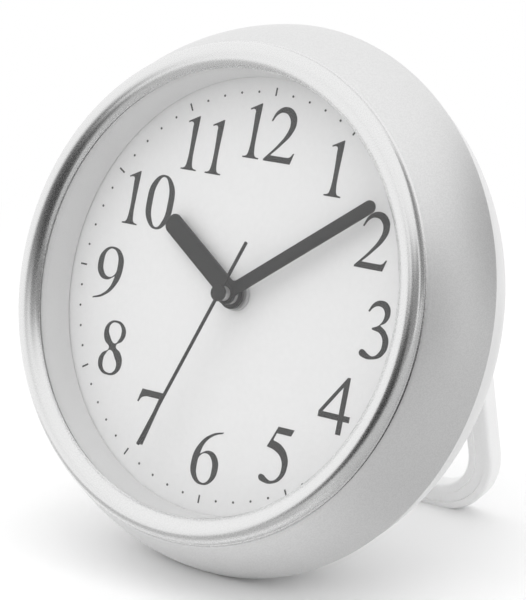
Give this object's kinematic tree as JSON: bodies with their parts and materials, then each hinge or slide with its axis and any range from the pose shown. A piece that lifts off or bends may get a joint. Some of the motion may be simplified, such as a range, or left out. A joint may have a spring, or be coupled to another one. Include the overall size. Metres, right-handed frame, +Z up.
{
  "type": "bathroom clock",
  "caption": "Round analogue quartz clock with a silver bezel and bowl-shaped case, white dial, domed sealed back and a folding loop stand.",
  "frame": {"origin": "middle of the overall box in plan, on the table the clock stands on", "axes": "+Z up, the dial faces -Y and leans back from upright, +X points to the three"},
  "size_m": [0.17, 0.1148, 0.1612],
  "materials": {
    "satin_aluminium": "satin",
    "silver_paint": "satin, fine grain",
    "white_plastic": "semi-gloss",
    "dial_white": "matt print",
    "lens_glass": "clear",
    "black_rubber": "matt",
    "hand_grey": "satin",
    "brass": "bright",
    "steel": "brushed",
    "gear_plastic": "moulded",
    "black_plastic": "moulded",
    "copper_winding": "enamelled wire",
    "board_green": "lacquered",
    "cell_sleeve": "printed sleeve left plain"
  },
  "bodies": {
    "case": {"front_bezel": "satin_aluminium", "lens": "lens_glass", "lens_gasket": "black_rubber", "dial_ring": "white_plastic", "dial": "dial_white", "case_body": "silver_paint", "rear_cover": "white_plastic", "cover_gasket": "black_rubber", "cover_screw_1": "steel", "cover_screw_2": "steel", "cover_screw_3": "steel", "cover_screw_4": "steel", "movement_front_case": "black_plastic", "movement_rear_case": "black_plastic", "movement_washer": "black_rubber", "bush_nut": "steel", "stator": "steel", "coil": "copper_winding", "circuit_board": "board_green", "quartz_crystal": "steel", "controller_chip": "black_plastic", "battery": "cell_sleeve", "battery_contact_positive": "steel", "battery_contact_negative": "steel", "knob_seal": "black_rubber"},
    "seconds": {"second_hand": "hand_grey", "second_wheel": "gear_plastic"},
    "rotor": {"rotor": "steel"},
    "fifth": {"fifth_wheel": "gear_plastic"},
    "third": {"third_wheel": "gear_plastic"},
    "centre": {"centre_wheel": "brass"},
    "minutes": {"minute_hand": "hand_grey", "minute_tube": "brass", "clutch_spring": "steel"},
    "motion": {"motion_wheel": "gear_plastic"},
    "hours": {"hour_hand": "hand_grey", "hour_wheel": "gear_plastic"},
    "setting": {"setting_knob": "white_plastic", "setting_shaft": "gear_plastic"},
    "door": {"battery_door": "white_plastic", "door_gasket": "black_rubber"},
    "stand": {"stand_loop": "white_plastic"}
  },
  "joints": [
    {"name": "second_turn", "type": "hinge", "parent": "case", "child": "seconds", "pos_m": [0, -0.01688, 0.08335], "axis": [0, -0.9438, 0.3305], "continuous": true},
    {"name": "rotor_turn", "type": "hinge", "parent": "case", "child": "rotor", "pos_m": [-0.0167, -0.01688, 0.08335], "axis": [0, -0.9438, 0.3305], "continuous": true},
    {"name": "fifth_turn", "type": "hinge", "parent": "case", "child": "fifth", "pos_m": [-0.0107, -0.01688, 0.08335], "axis": [0, -0.9438, 0.3305], "continuous": true},
    {"name": "third_turn", "type": "hinge", "parent": "case", "child": "third", "pos_m": [0, -0.01331, 0.09354], "axis": [0, -0.9438, 0.3305], "continuous": true},
    {"name": "centre_turn", "type": "hinge", "parent": "case", "child": "centre", "pos_m": [0, -0.01688, 0.08335], "axis": [0, -0.9438, 0.3305], "continuous": true},
    {"name": "minute_turn", "type": "hinge", "parent": "case", "child": "minutes", "pos_m": [0, -0.01688, 0.08335], "axis": [0, -0.9438, 0.3305], "continuous": true},
    {"name": "motion_turn", "type": "hinge", "parent": "case", "child": "motion", "pos_m": [0.007, -0.01688, 0.08335], "axis": [0, -0.9438, 0.3305], "continuous": true},
    {"name": "hour_turn", "type": "hinge", "parent": "case", "child": "hours", "pos_m": [0, -0.01688, 0.08335], "axis": [0, -0.9438, 0.3305], "continuous": true},
    {"name": "setting_turn", "type": "hinge", "parent": "case", "child": "setting", "pos_m": [0.01575, -0.01688, 0.08335], "axis": [0, -0.9438, 0.3305], "continuous": true},
    {"name": "door_lift", "type": "slide", "parent": "case", "child": "door", "axis": [0, 0.9438, -0.3305], "range_m": [0, 0.02]},
    {"name": "stand_fold", "type": "hinge", "parent": "case", "child": "stand", "pos_m": [0, 0.0366, 0.09885], "axis": [1, 0, 0], "range_deg": [-29.4, 0]}
  ],
  "couplings": [
    {"joint": "rotor_turn", "follows": "second_turn", "ratio": 30},
    {"joint": "fifth_turn", "follows": "second_turn", "ratio": -6},
    {"joint": "third_turn", "follows": "second_turn", "ratio": -0.125},
    {"joint": "centre_turn", "follows": "second_turn", "ratio": 0.016667},
    {"joint": "motion_turn", "follows": "minute_turn", "ratio": -0.33333},
    {"joint": "hour_turn", "follows": "minute_turn", "ratio": 0.083333},
    {"joint": "setting_turn", "follows": "minute_turn", "ratio": 0.5}
  ]
}
